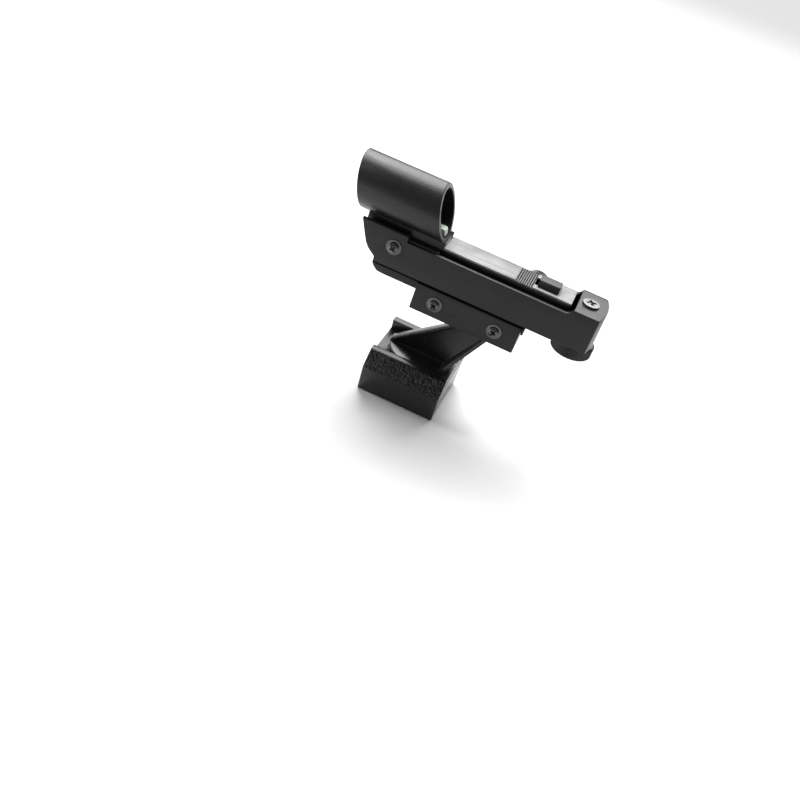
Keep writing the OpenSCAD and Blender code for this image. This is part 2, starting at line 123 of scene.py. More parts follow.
def noise_node(tree, vector, scale, detail=4.0, roughness=0.55):
    """A Noise Texture; returns its value socket."""
    node = tree.nodes.new("ShaderNodeTexNoise")
    tree.links.new(vector, node.inputs["Vector"])
    for socket, value in (("Scale", scale), ("Detail", detail), ("Roughness", roughness)):
        feed(tree, node.inputs[socket], value)
    return node.outputs["Fac"]


def range_node(tree, value, low, high, to_low, to_high):
    """A Map Range node; limits may be sockets or numbers."""
    node = tree.nodes.new("ShaderNodeMapRange")
    tree.links.new(value, node.inputs["Value"])
    names = ("From Min", "From Max", "To Min", "To Max")
    for socket, limit in zip(names, (low, high, to_low, to_high)):
        feed(tree, node.inputs[socket], limit)
    return node.outputs["Result"]


def grain_group():
    """Fine moulded or sprayed grain: a roughness that wanders and a height for bump."""
    group, enter, leave = new_group(
        "Fine Grain",
        [("Scale", 2600.0), ("Rough Low", 0.35), ("Rough High", 0.5)],
        ["Roughness", "Height"],
    )
    fine = noise_node(group, enter.outputs["Vector"], enter.outputs["Scale"], detail=3.0)
    broad = noise_node(group, enter.outputs["Vector"], scale=60.0)
    both = math_node(group, "MULTIPLY_ADD", fine, 0.4, math_node(group, "MULTIPLY", broad, 0.6))
    rough = range_node(
        group, both, 0.35, 0.65, enter.outputs["Rough Low"], enter.outputs["Rough High"]
    )
    group.links.new(rough, leave.inputs["Roughness"])
    group.links.new(fine, leave.inputs["Height"])
    return group


def crinkle_group():
    """Crinkle paint: rounded pebbles with narrow valleys between them, and a valley mask for painted shade.
    """
    group, enter, leave = new_group("Crinkle Paint", [("Scale", 900.0)], ["Height", "Valley"])
    bend = group.nodes.new("ShaderNodeVectorMath")
    bend.operation = "ADD"
    drift = group.nodes.new("ShaderNodeTexNoise")
    drift.inputs["Scale"].default_value = 700.0
    shrink = group.nodes.new("ShaderNodeVectorMath")
    shrink.operation = "SCALE"
    shrink.inputs["Scale"].default_value = 0.0011
    group.links.new(enter.outputs["Vector"], drift.inputs["Vector"])
    group.links.new(drift.outputs["Color"], shrink.inputs[0])
    group.links.new(enter.outputs["Vector"], bend.inputs[0])
    group.links.new(shrink.outputs[0], bend.inputs[1])
    cells = group.nodes.new("ShaderNodeTexVoronoi")
    cells.feature = "SMOOTH_F1"
    group.links.new(bend.outputs[0], cells.inputs["Vector"])
    group.links.new(enter.outputs["Scale"], cells.inputs["Scale"])
    dome = math_node(group, "SUBTRACT", 1.0, cells.outputs["Distance"])
    # valley mask: where the paint is darkened as painted shade between the pebbles
    valley_shade = range_node(group, cells.outputs["Distance"], 0.35, 0.75, 0.0, 1.0)
    group.links.new(dome, leave.inputs["Height"])
    group.links.new(valley_shade, leave.inputs["Valley"])
    return group


def scuff_group():
    """Sparse rub marks and dust, as a mask."""
    group, enter, leave = new_group("Rub Marks", [("Amount", 0.3)], ["Mask"])
    stretch = group.nodes.new("ShaderNodeMapping")
    stretch.inputs["Scale"].default_value = (0.35, 1.0, 1.6)
    group.links.new(enter.outputs["Vector"], stretch.inputs["Vector"])
    marks = noise_node(group, stretch.outputs[0], scale=420.0, detail=6.0, roughness=0.7)
    patches = noise_node(group, enter.outputs["Vector"], scale=45.0, detail=2.0)
    lines = range_node(group, marks, 0.56, 0.74, 0.0, 1.0)
    areas = range_node(group, patches, 0.45, 0.65, 0.0, 1.0)
    mask = math_node(group, "MULTIPLY", lines, areas)
    mask = math_node(group, "MULTIPLY", mask, enter.outputs["Amount"])
    group.links.new(mask, leave.inputs["Mask"])
    return group


def brushed_group():
    """Long fine strokes along X, as on brushed metal."""
    group, enter, leave = new_group("Brushed Strokes", [("Scale", 3000.0)], ["Value", "Height"])
    stretch = group.nodes.new("ShaderNodeMapping")
    stretch.inputs["Scale"].default_value = (0.02, 1.0, 1.0)
    group.links.new(enter.outputs["Vector"], stretch.inputs["Vector"])
    strokes = noise_node(group, stretch.outputs[0], enter.outputs["Scale"], detail=5.0, roughness=0.6)
    clouds = noise_node(group, enter.outputs["Vector"], scale=70.0, detail=3.0)
    value = math_node(group, "MULTIPLY_ADD", strokes, 0.6, math_node(group, "MULTIPLY", clouds, 0.4))
    group.links.new(value, leave.inputs["Value"])
    group.links.new(strokes, leave.inputs["Height"])
    return group


GROUPS = {}


def shader_group(name):
    """The named group, built on first use."""
    makers = {
        "grain": grain_group,
        "crinkle": crinkle_group,
        "scuff": scuff_group,
        "brushed": brushed_group,
    }
    if name not in GROUPS:
        GROUPS[name] = makers[name]()
    return GROUPS[name]


# ---------------------------------------------------------------- materials


def start_material(name):
    """A node material with its Principled shader and Object coordinates."""
    material = bpy.data.materials.new(name)
    material.use_nodes = True
    tree = material.node_tree
    shader = tree.nodes["Principled BSDF"]
    coords = tree.nodes.new("ShaderNodeTexCoord").outputs["Object"]
    return material, tree, shader, coords


def place_group(tree, name, coords, **values):
    """Puts a shader group in a material, fed by coords, with its own values."""
    node = tree.nodes.new("ShaderNodeGroup")
    node.node_tree = shader_group(name)
    tree.links.new(coords, node.inputs["Vector"])
    for key, value in values.items():
        node.inputs[key.replace("_", " ").title()].default_value = value
    return node


def add_bump(tree, shader, height, strength, distance):
    """Bump from a height socket into the shader's Normal."""
    bump = tree.nodes.new("ShaderNodeBump")
    bump.inputs["Strength"].default_value = strength
    bump.inputs["Distance"].default_value = distance
    tree.links.new(height, bump.inputs["Height"])
    tree.links.new(bump.outputs["Normal"], shader.inputs["Normal"])


def mix_colours(tree, shader, factor, first, second):
    """Base Color from two colours and a mask socket."""
    mix = tree.nodes.new("ShaderNodeMix")
    mix.data_type = "RGBA"
    mix.inputs[6].default_value = (*first, 1.0)
    mix.inputs[7].default_value = (*second, 1.0)
    tree.links.new(factor, mix.inputs[0])
    tree.links.new(mix.outputs[2], shader.inputs["Base Color"])


def satin(
    name, colour, rough, grain=2600.0, depth=0.00002, bump=0.35, scuff=0.3, metallic=0.0, gloss=0.4
):
    """Satin paint or moulded plastic with a fine grain and faint rub marks."""
    material, tree, shader, coords = start_material(name)
    fine = place_group(
        tree, "grain", coords, scale=grain, rough_low=rough - 0.06, rough_high=rough + 0.08
    )
    marks = place_group(tree, "scuff", coords, amount=scuff)
    lighter = tuple(c * 2.2 + 0.02 for c in colour)
    mix_colours(tree, shader, marks.outputs["Mask"], colour, lighter)
    tree.links.new(fine.outputs["Roughness"], shader.inputs["Roughness"])
    shader.inputs["Metallic"].default_value = metallic
    shader.inputs["Specular IOR Level"].default_value = gloss
    add_bump(tree, shader, fine.outputs["Height"], bump, depth)
    return material


SMOOTH_HALF = 0.0194  # the slot and rail tops are smooth out to here, either side of the middle
SMOOTH_FADE = 0.0005  # width over which the crinkle begins
FACET_HEIGHTS = (0.0122, 0.0138)  # the crinkle of the sides fades in between these heights
FACET_SHARE = 0.06  # what is left of it on the lower facet
RAIL_ROUGH = 0.24


def crinkled(name, colour, rough, scale):
    """Crinkle paint with painted shade in its valleys outside the rails, smooth paint on the rail tops and in
    the slot.
    """
    material, tree, shader, coords = start_material(name)
    paint = place_group(tree, "crinkle", coords, scale=scale)
    split = tree.nodes.new("ShaderNodeSeparateXYZ")
    tree.links.new(coords, split.inputs[0])
    away = math_node(tree, "ABSOLUTE", split.outputs["Y"])
    outside = range_node(tree, away, SMOOTH_HALF, SMOOTH_HALF + SMOOTH_FADE, 0.0, 1.0)
    upper = range_node(tree, split.outputs["Z"], *FACET_HEIGHTS, FACET_SHARE, 1.0)
    share = math_node(tree, "MULTIPLY", outside, upper)
    valley_shade = math_node(tree, "MULTIPLY", paint.outputs["Valley"], share)
    # painted shade: the crinkle's valleys are darkened to a tenth of the paint's colour
    valley_shade_colour = tuple(c * 0.1 for c in colour)
    mix_colours(tree, shader, valley_shade, colour, valley_shade_colour)
    rough_value = range_node(tree, outside, 0.0, 1.0, RAIL_ROUGH, rough)
    tree.links.new(rough_value, shader.inputs["Roughness"])
    shader.inputs["Specular IOR Level"].default_value = 0.32
    height = math_node(tree, "MULTIPLY", paint.outputs["Height"], share)
    add_bump(tree, shader, height, strength=1.0, distance=0.0014)
    return material


BORE_BLACK = 0.0112  # flat black paint and painted shade reach a little past the bore's radius
BORE_FADE = 0.0008
# bore colour: flat black paint, darkened further as painted shade inside the tube
FLAT_BLACK_AND_SHADE = (0.0008, 0.0008, 0.0008)


def tube_paint(name, colour, rough, axis_z):
    """Satin paint with fine lengthwise grain outside; in the bore flat black paint, darkened further as
    painted shade.
    """
    material, tree, shader, coords = start_material(name)
    strokes = place_group(tree, "brushed", coords, scale=1500.0)
    fine = place_group(
        tree, "grain", coords, scale=1300.0, rough_low=rough - 0.05, rough_high=rough + 0.1
    )
    split = tree.nodes.new("ShaderNodeSeparateXYZ")
    tree.links.new(coords, split.inputs[0])
    across = math_node(tree, "POWER", math_node(tree, "ABSOLUTE", split.outputs["Y"]), 2.0)
    rise = math_node(tree, "ABSOLUTE", math_node(tree, "SUBTRACT", split.outputs["Z"], axis_z))
    reach = math_node(tree, "SQRT", math_node(tree, "ADD", across, math_node(tree, "POWER", rise, 2.0)))
    outer = range_node(tree, reach, BORE_BLACK, BORE_BLACK + BORE_FADE, 0.0, 1.0)
    # inside the bore the colour is painted shade over flat black paint
    mix_colours(tree, shader, outer, FLAT_BLACK_AND_SHADE, colour)
    skin = math_node(tree, "MULTIPLY", fine.outputs["Roughness"], outer)
    dull = math_node(tree, "SUBTRACT", 1.0, outer)
    tree.links.new(math_node(tree, "ADD", skin, dull), shader.inputs["Roughness"])
    shader.inputs["Specular IOR Level"].default_value = 0.42
    height = math_node(tree, "MULTIPLY_ADD", strokes.outputs["Height"], 0.7, fine.outputs["Height"])
    add_bump(tree, shader, height, strength=0.6, distance=0.00014)
    return material


def brushed(name, dark, light, low, high, fineness=3000.0, metallic=0.85):
    """Brushed metal with strokes along X."""
    material, tree, shader, coords = start_material(name)
    strokes = place_group(tree, "brushed", coords, scale=fineness)
    mask = range_node(tree, strokes.outputs["Value"], 0.35, 0.65, 0.0, 1.0)
    mix_colours(tree, shader, mask, dark, light)
    rough = range_node(tree, strokes.outputs["Value"], 0.35, 0.65, low, high)
    tree.links.new(rough, shader.inputs["Roughness"])
    shader.inputs["Metallic"].default_value = metallic
    add_bump(tree, shader, strokes.outputs["Height"], strength=0.25, distance=0.00002)
    return material


def lens_glass(name, colour):
    """Coated glass that lets the view through."""
    material, tree, shader, coords = start_material(name)
    haze = place_group(tree, "grain", coords, scale=300.0, rough_low=0.02, rough_high=0.06)
    shader.inputs["Base Color"].default_value = (*colour, 1.0)
    shader.inputs["Transmission Weight"].default_value = 0.85
    shader.inputs["IOR"].default_value = 1.5
    shader.inputs["Alpha"].default_value = 0.45
    tree.links.new(haze.outputs["Roughness"], shader.inputs["Roughness"])
    return material


def glowing(name, colour, strength):
    """The small lamp's coloured plastic body."""
    material, tree, shader, coords = start_material(name)
    fine = place_group(tree, "grain", coords, scale=1500.0, rough_low=0.2, rough_high=0.35)
    shader.inputs["Base Color"].default_value = (*colour, 1.0)
    shader.inputs["Emission Color"].default_value = (*colour, 1.0)
    shader.inputs["Emission Strength"].default_value = strength
    tree.links.new(fine.outputs["Roughness"], shader.inputs["Roughness"])
    return material


MATERIALS = {}
SMOOTH_SKIN = {"grain": 1500.0, "depth": 0.00001, "bump": 0.2}  # turned metal and polished moulds


def make_materials(tones):
    """Every finish, named after the record's slots."""
    low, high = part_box("sight_tube")
    axis_z = (low.z + high.z) / 2
    MATERIALS.update(
        crinkle_metal=crinkled("crinkle_metal", tuple(tones.shoe_black), 0.28, scale=850.0),
        satin_metal=satin("satin_metal", (0.008, 0.008, 0.008), 0.24, grain=1800.0, gloss=0.5),
        tube_metal=tube_paint("tube_metal", (0.012, 0.012, 0.0122), 0.3, axis_z),
        strip_aluminium=brushed(
            "strip_aluminium", (0.09, 0.09, 0.092), (0.36, 0.36, 0.365), low=0.45, high=0.62,
            fineness=900.0, metallic=0.25,
        ),
        grip_metal=satin("grip_metal", (0.04, 0.04, 0.04), 0.25, gloss=0.6),
        satin_plastic=satin(
            "satin_plastic", tuple(tones.body_black), 0.36, grain=2400.0, depth=0.00003, bump=0.4, gloss=0.3
        ),
        knob_plastic=satin("knob_plastic", (0.006, 0.006, 0.006), 0.26, bump=0.3),
        black_steel=satin("black_steel", (0.02, 0.02, 0.021), 0.14, **SMOOTH_SKIN, scuff=0.4, gloss=1.0),
        bolt_steel=satin("bolt_steel", (0.16, 0.16, 0.16), 0.42, **SMOOTH_SKIN, scuff=0.6, metallic=0.9),
        steel=satin("steel", (0.5, 0.5, 0.49), 0.28, **SMOOTH_SKIN, scuff=0.4, metallic=1.0),
        battery_steel=brushed(
            "battery_steel", (0.45, 0.45, 0.44), (0.62, 0.62, 0.6), low=0.22, high=0.35
        ),
        contact_brass=satin("contact_brass", (0.6, 0.44, 0.18), 0.3, **SMOOTH_SKIN, metallic=1.0),
        coated_glass=lens_glass("coated_glass", (0.75, 0.86, 0.95)),
        lamp_plastic=satin("lamp_plastic", (0.55, 0.62, 0.52), 0.3, **SMOOTH_SKIN, scuff=0.2),
        lamp_red=glowing("lamp_red", (0.55, 0.02, 0.02), 0.3),
        board_green=satin(
            "board_green", (0.02, 0.12, 0.045), 0.35, grain=900.0, depth=0.00001, bump=0.2, scuff=0.2
        ),
    )


# ---------------------------------------------------------------- mesh helpers


def mesh_from_object(holder):
    """The evaluated mesh of an object whose modifiers are then thrown away with it."""
    bpy.context.view_layer.update()
    graph = bpy.context.evaluated_depsgraph_get()
    mesh = bpy.data.meshes.new_from_object(holder.evaluated_get(graph))
    bpy.data.objects.remove(holder)
    return mesh


def hold(mesh, name="holder"):
    """Links a mesh to the scene in a passing object."""
    holder = bpy.data.objects.new(name, mesh)
    bpy.context.scene.collection.objects.link(holder)
    return holder


MERGE_WITHIN = 2e-6
FLAT_WITHIN = math.radians(0.5)
BEVEL_FROM = math.radians(30.0)  # edges that turn more than this are rounded


def softened(node, width, segments=3):
    """A merged copy of a CAD node with rounded edges, width in millimetres."""
    mesh = frame["nodes"][node].data.copy()
    shell = bmesh.new()
    shell.from_mesh(mesh)
    bmesh.ops.remove_doubles(shell, verts=shell.verts, dist=MERGE_WITHIN)
    bmesh.ops.dissolve_limit(shell, angle_limit=FLAT_WITHIN, verts=shell.verts, edges=shell.edges)
    shell.to_mesh(mesh)
    shell.free()
    holder = hold(mesh)
    edge = holder.modifiers.new("edge", "BEVEL")
    edge.width = width * MM
    edge.segments = segments
    edge.limit_method = "ANGLE"
    edge.angle_limit = BEVEL_FROM
    edge.use_clamp_overlap = False
    return mesh_from_object(holder)


def piece(name, meshes, node, smooth=32.0):
    """One finished piece: joins the meshes, gives the finish and ties it to its body and CAD node."""
    slot = SLOT_OF[node]
    whole = bmesh.new()
    for mesh in meshes if isinstance(meshes, list) else [meshes]:
        whole.from_mesh(mesh)
    joined = bpy.data.meshes.new(name)
    whole.to_mesh(joined)
    whole.free()
    joined.materials.clear()
    joined.materials.append(MATERIALS[slot])
    for face in joined.polygons:
        face.material_index = 0
        face.use_smooth = True
    joined.set_sharp_from_angle(angle=math.radians(smooth))
    shape = hold(joined, name)
    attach(shape, BODY_OF[node])
    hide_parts(node)


def rounded(name, node, width, segments=3):
    """A piece that is one CAD node with its edges rounded, width in millimetres."""
    piece(name, softened(node, width, segments), node)


# ---------------------------------------------------------------- geometry node trees


class TreeMaker:
    """A geometry node tree under construction, with short calls for nodes and links."""

    def __init__(self, name, inputs, takes_points=False):
        self.tree = bpy.data.node_groups.new(name, "GeometryNodeTree")
        face = self.tree.interface
        if takes_points:
            face.new_socket(name="Points", in_out="INPUT", socket_type="NodeSocketGeometry")
        for title, kind, value in inputs:
            item = face.new_socket(name=title, in_out="INPUT", socket_type="NodeSocket" + kind)
            item.default_value = value
        face.new_socket(name="Material", in_out="INPUT", socket_type="NodeSocketMaterial")
        face.new_socket(name="Geometry", in_out="OUTPUT", socket_type="NodeSocketGeometry")
        self.enter = self.tree.nodes.new("NodeGroupInput")
        self.leave = self.tree.nodes.new("NodeGroupOutput")

    def input(self, title):
        return self.enter.outputs[title]

    def node(self, kind, settings=None, **values):
        node = self.tree.nodes.new(kind)
        for key, value in (settings or {}).items():
            setattr(node, key, value)
        for key, value in values.items():
            feed(self.tree, node.inputs[key.replace("_", " ")], value)
        return node

    def calc(self, operation, *values):
        return math_node(self.tree, operation, *values)

    def reach(self, x, y):
        """Distance from the Z axis."""
        return self.calc("SQRT", self.calc("ADD", self.calc("MULTIPLY", x, x), self.calc("MULTIPLY", y, y)))

    def drawn_in(self, x, y, z, share):
        """A position brought to this share of its distance from the Z axis."""
        return self.vector(self.calc("MULTIPLY", x, share), self.calc("MULTIPLY", y, share), z)

    def chance(self, low, high):
        """A random number for each point, from the tree's Seed."""
        node = self.node("FunctionNodeRandomValue", {"data_type": "FLOAT"}, Seed=self.input("Seed"))
        node.inputs[2].default_value = low
        node.inputs[3].default_value = high
        return node.outputs[1]

    def position(self):
        split = self.tree.nodes.new("ShaderNodeSeparateXYZ")
        self.tree.links.new(self.tree.nodes.new("GeometryNodeInputPosition").outputs[0], split.inputs[0])
        return split.outputs

    def vector(self, x, y, z):
        node = self.tree.nodes.new("ShaderNodeCombineXYZ")
        for socket, value in zip(node.inputs, (x, y, z)):
            feed(self.tree, socket, value)
        return node.outputs[0]

    def close(self, geometry):
        real = self.tree.nodes.new("GeometryNodeRealizeInstances")
        paint = self.tree.nodes.new("GeometryNodeSetMaterial")
        self.tree.links.new(geometry, real.inputs[0])
        self.tree.links.new(real.outputs[0], paint.inputs["Geometry"])
        self.tree.links.new(self.input("Material"), paint.inputs["Material"])
        self.tree.links.new(paint.outputs[0], self.leave.inputs[0])
        return self.tree


def grow(tree, material, points=None, **values):
    """Runs a tree on an empty or given mesh and returns the plain mesh."""
    holder = hold(points or bpy.data.meshes.new("seed"))
    modifier = holder.modifiers.new("grow", "NODES")
    modifier.node_group = tree
    known = {
        item.name: item.identifier
        for item in tree.interface.items_tree
        if item.item_type == "SOCKET" and item.in_out == "INPUT"
    }
    modifier[known["Material"]] = material
    for key, value in values.items():
        modifier[known[key.replace("_", " ").title()]] = value
    return mesh_from_object(holder)


WHEEL_RINGS = (0.8, 0.94)  # scale of a wheel's face inside its flat ring, then inside the dish's slope


def wheel_tree():
    """A knurled wheel round Z: straight teeth on the rim, rounded shoulders, dished faces."""
    make = TreeMaker(
        "Knurled Wheel",
        [("Radius", "Float", 0.01), ("Height", "Float", 0.006), ("Teeth", "Int", 40),
         ("Depth", "Float", 0.0004), ("Shoulder", "Float", 0.0006), ("Dish", "Float", 0.0004)],
    )
    radius, height = make.input("Radius"), make.input("Height")
    blank = make.node(
        "GeometryNodeMeshCylinder", {"fill_type": "NGON"},
        Vertices=make.calc("MULTIPLY", make.input("Teeth"), 6.0), Side_Segments=12, Fill_Segments=1,
        Radius=radius, Depth=height,
    )
    x, y, z = make.position()
    reach = make.reach(x, y)
    angle = make.calc("ARCTAN2", y, x)
    wave = make.calc("COSINE", make.calc("MULTIPLY", angle, make.input("Teeth")))
    half_depth = make.calc("MULTIPLY", make.input("Depth"), 0.5)
    tooth = make.calc("MULTIPLY", make.calc("SUBTRACT", 1.0, wave), half_depth)
    shoulder_z = make.calc("SUBTRACT", make.calc("MULTIPLY", height, 0.5), make.input("Shoulder"))
    rise = make.calc("SUBTRACT", make.calc("ABSOLUTE", z), shoulder_z)
    over = make.calc("DIVIDE", make.calc("MAXIMUM", rise, 0.0), make.input("Shoulder"))
    rest = make.calc("SUBTRACT", 1.0, make.calc("MULTIPLY", over, over))
    round_off = make.calc("SUBTRACT", 1.0, make.calc("SQRT", make.calc("MAXIMUM", rest, 0.0)))
    inward = make.calc("ADD", tooth, make.calc("MULTIPLY", round_off, make.input("Shoulder")))
    share = make.calc("DIVIDE", make.calc("SUBTRACT", reach, inward), reach)
    moved = make.node(
        "GeometryNodeSetPosition", None, Geometry=blank.outputs["Mesh"],
        Position=make.drawn_in(x, y, z, share),
    )
    surface = moved.outputs[0]
    chosen = make.calc("ADD", blank.outputs["Top"], blank.outputs["Bottom"])
    for scale in WHEEL_RINGS:
        ring = make.node(
            "GeometryNodeExtrudeMesh", {"mode": "FACES"}, Mesh=surface, Selection=chosen,
            Offset_Scale=0.0, Individual=False,
        )
        chosen = ring.outputs["Top"]
        shrunk = make.node(
            "GeometryNodeScaleElements", {"domain": "FACE"}, Geometry=ring.outputs["Mesh"],
            Selection=chosen, Scale=scale,
        )
        surface = shrunk.outputs[0]
    inner_z = make.position()["Z"]
    away = make.calc("MULTIPLY", make.calc("SIGN", inner_z), make.calc("MULTIPLY", make.input("Dish"), -1.0))
    dished = make.node(
        "GeometryNodeSetPosition", None, Geometry=surface, Selection=chosen,
        Offset=make.vector(0.0, 0.0, away),
    )
    return make.close(dished.outputs[0])


CROSS_ARM = 0.32  # width of a cross's arm over its length
CROSS_CUTTER = 1.7  # height of the cutter, which is centred on the head's top, over the head's height
THREAD_CUT = 0.2  # a groove is half of this share of the shank's radius deep
HEAD_TURN = (0.15, 1.3)  # radians between which each head is turned


def screw_tree():
    """Cross-head screws on points: domed head, threaded shank, head facing along the point's 'out'."""
    make = TreeMaker(
        "Cross-head Screws",
        [("Head Radius", "Float", 0.0026), ("Head Height", "Float", 0.0017),
         ("Shank Radius", "Float", 0.0015), ("Shank Length", "Float", 0.009),
         ("Pitch", "Float", 0.0005), ("Cross", "Float", 0.003), ("Dome", "Float", 0.42),
         ("Seed", "Int", 3)],
        takes_points=True,
    )
    head_r, head_h = make.input("Head Radius"), make.input("Head Height")
    head = make.node(
        "GeometryNodeMeshCylinder", {"fill_type": "TRIANGLE_FAN"}, Vertices=48, Side_Segments=4,
        Fill_Segments=8, Radius=head_r, Depth=head_h,
    )
    x, y, z = make.position()
    share = make.calc("POWER", make.calc("DIVIDE", make.reach(x, y), head_r), 3.0)
    top = make.calc("GREATER_THAN", z, make.calc("MULTIPLY", head_h, -0.1))
    sink = make.calc("MULTIPLY", make.calc("MULTIPLY", head_h, make.input("Dome")), -1.0)
    drop = make.calc("MULTIPLY", make.calc("MULTIPLY", share, top), sink)
    domed = make.node(
        "GeometryNodeSetPosition", None, Geometry=head.outputs["Mesh"],
        Offset=make.vector(0.0, 0.0, drop),
    )
    seated = make.node(
        "GeometryNodeTransform", None, Geometry=domed.outputs[0],
        Translation=make.vector(0.0, 0.0, make.calc("MULTIPLY", head_h, 0.5)),
    )
    width = make.calc("MULTIPLY", make.input("Cross"), CROSS_ARM)
    deep = make.calc("MULTIPLY", head_h, CROSS_CUTTER)
    cut = make.node("GeometryNodeMeshBoolean", {"operation": "DIFFERENCE"})
    make.tree.links.new(seated.outputs[0], cut.inputs["Mesh 1"])
    for sizes in ((make.input("Cross"), width), (width, make.input("Cross"))):
        bar = make.node("GeometryNodeMeshCube", None, Size=make.vector(*sizes, deep))
        lifted = make.node(
            "GeometryNodeTransform", None, Geometry=bar.outputs["Mesh"],
            Translation=make.vector(0.0, 0.0, head_h),
        )
        make.tree.links.new(lifted.outputs[0], cut.inputs["Mesh 2"])
    length = make.input("Shank Length")
    shank = make.node(
        "GeometryNodeMeshCylinder", {"fill_type": "NGON"}, Vertices=24, Side_Segments=64,
        Fill_Segments=1, Radius=make.input("Shank Radius"), Depth=length,
    )
    sx, sy, sz = make.position()
    turn = make.calc("DIVIDE", make.calc("ARCTAN2", sy, sx), 2 * math.pi)
    phase = make.calc("ADD", make.calc("DIVIDE", sz, make.input("Pitch")), turn)
    groove = make.calc("MULTIPLY", make.calc("PINGPONG", phase, 0.5), THREAD_CUT)
    shrink = make.calc("SUBTRACT", 1.0, groove)
    threaded = make.node(
        "GeometryNodeSetPosition", None, Geometry=shank.outputs["Mesh"],
        Position=make.drawn_in(sx, sy, sz, shrink),
    )
    hung = make.node(
        "GeometryNodeTransform", None, Geometry=threaded.outputs[0],
        Translation=make.vector(0.0, 0.0, make.calc("MULTIPLY", length, -0.5)),
    )
    whole = make.node("GeometryNodeJoinGeometry")
    make.tree.links.new(cut.outputs["Mesh"], whole.inputs[0])
    make.tree.links.new(hung.outputs[0], whole.inputs[0])
    out = make.node("GeometryNodeInputNamedAttribute", {"data_type": "FLOAT_VECTOR"}, Name="out")
    aim = make.node("FunctionNodeAlignRotationToVector", {"axis": "Z"}, Vector=out.outputs["Attribute"])
    stood = make.node(
        "GeometryNodeInstanceOnPoints", None, Points=make.input("Points"), Instance=whole.outputs[0],
        Rotation=aim.outputs[0],
    )
    spun = make.node(
        "GeometryNodeRotateInstances", None, Instances=stood.outputs[0],
        Rotation=make.vector(0.0, 0.0, make.chance(*HEAD_TURN)), Local_Space=True,
    )
    return make.close(spun.outputs[0])


def coil_tree():
    """A compression spring round Z, from z 0 up."""
    make = TreeMaker(
        "Coil Spring",
        [("Radius", "Float", 0.003), ("Wire", "Float", 0.00035), ("Height", "Float", 0.009),
         ("Turns", "Float", 6.0)],
    )
    spiral = make.node(
        "GeometryNodeCurveSpiral", None, Resolution=36, Rotations=make.input("Turns"),
        Start_Radius=make.input("Radius"), End_Radius=make.input("Radius"), Height=make.input("Height"),
    )
    section = make.node("GeometryNodeCurvePrimitiveCircle", None, Resolution=10, Radius=make.input("Wire"))
    tube = make.node(
        "GeometryNodeCurveToMesh", None, Curve=spiral.outputs[0], Profile_Curve=section.outputs[0],
        Fill_Caps=True,
    )
    return make.close(tube.outputs[0])


POINT_TOP, POINT_FOOT = 0.14, 0.5  # radii of a grip point over the pitch


def diamond_tree():
    """A patch of small four-sided points on a plate, as cut by crossed knurls."""
    make = TreeMaker(
        "Diamond Grip",
        [("Length", "Float", 0.009), ("Width", "Float", 0.016), ("Pitch", "Float", 0.0008),
         ("Rise", "Float", 0.0003)],
    )
    pitch = make.input("Pitch")
    inner = [make.calc("SUBTRACT", make.input(side), pitch) for side in ("Length", "Width")]
    counts = [make.calc("ADD", make.calc("ROUND", make.calc("DIVIDE", side, pitch)), 1.0) for side in inner]
    grid = make.node(
        "GeometryNodeMeshGrid", None, Size_X=inner[0], Size_Y=inner[1],
        Vertices_X=counts[0], Vertices_Y=counts[1],
    )
    cone = make.node(
        "GeometryNodeMeshCone", {"fill_type": "NONE"}, Vertices=4,
        Radius_Top=make.calc("MULTIPLY", pitch, POINT_TOP),
        Radius_Bottom=make.calc("MULTIPLY", pitch, POINT_FOOT),
        Depth=make.input("Rise"),
    )
    points = make.node(
        "GeometryNodeInstanceOnPoints", None, Points=grid.outputs["Mesh"], Instance=cone.outputs["Mesh"]
    )
    return make.close(points.outputs[0])


CHIP_FIELD = (0.75, 0.7)  # shares of the board's length and width that carry chips
CHIP_SIZE = (0.0012, 0.0007, 0.0003)
CHIP_SCALE = (0.6, 1.15)


def parts_tree():
    """Small chips of several sizes in rows on a board."""
    make = TreeMaker(
        "Board Parts",
        [("Length", "Float", 0.014), ("Width", "Float", 0.011), ("Seed", "Int", 5)],
    )
    field = make.node(
        "GeometryNodeMeshGrid", None, Size_X=make.input("Length"), Size_Y=make.input("Width"),
        Vertices_X=5, Vertices_Y=4,
    )
    chip = make.node("GeometryNodeMeshCube", None, Size=CHIP_SIZE)
    scattered = make.node(
        "GeometryNodeInstanceOnPoints", None, Points=field.outputs["Mesh"],
        Instance=chip.outputs["Mesh"], Scale=make.chance(*CHIP_SCALE),
    )
    return make.close(scattered.outputs[0])


TREES = {}


def geometry_tree(name):
    """The named tree, built on first use."""
    makers = {
        "wheel": wheel_tree,
        "screw": screw_tree,
        "coil": coil_tree,
        "diamond": diamond_tree,
        "parts": parts_tree,
    }
    if name not in TREES:
        TREES[name] = makers[name]()
    return TREES[name]


def screw_points(places):
    """A mesh of single points, each with the way its screw head faces."""
    mesh = bpy.data.meshes.new("screw_points")
    mesh.from_pydata([place for place, _ in places], [], [])
    facing = mesh.attributes.new("out", "FLOAT_VECTOR", "POINT")
    for item, (_, out) in zip(facing.data, places):
        item.vector = out
    return mesh


THREAD_PITCH = 0.0005
DOME = 0.42  # fall of a screw head's edge over the head's height
TO_Y = Matrix.Rotation(math.pi / 2, 4, "X")  # stands what was made along Z along Y
ROD_SIDES = 48


def screws(name, node, places, head_r, head_h, shank_r, shank_len, cross, seed, flat=1.0):
    """A piece of like screws for one CAD node, sizes in metres; a small 'flat' flattens the dome."""
    mesh = grow(
        geometry_tree("screw"), MATERIALS[SLOT_OF[node]], screw_points(places),
        head_radius=head_r, head_height=head_h, shank_radius=shank_r, shank_length=shank_len,
        pitch=THREAD_PITCH, cross=cross, dome=DOME * flat, seed=seed,
    )
    piece(name, mesh, node, smooth=30.0)


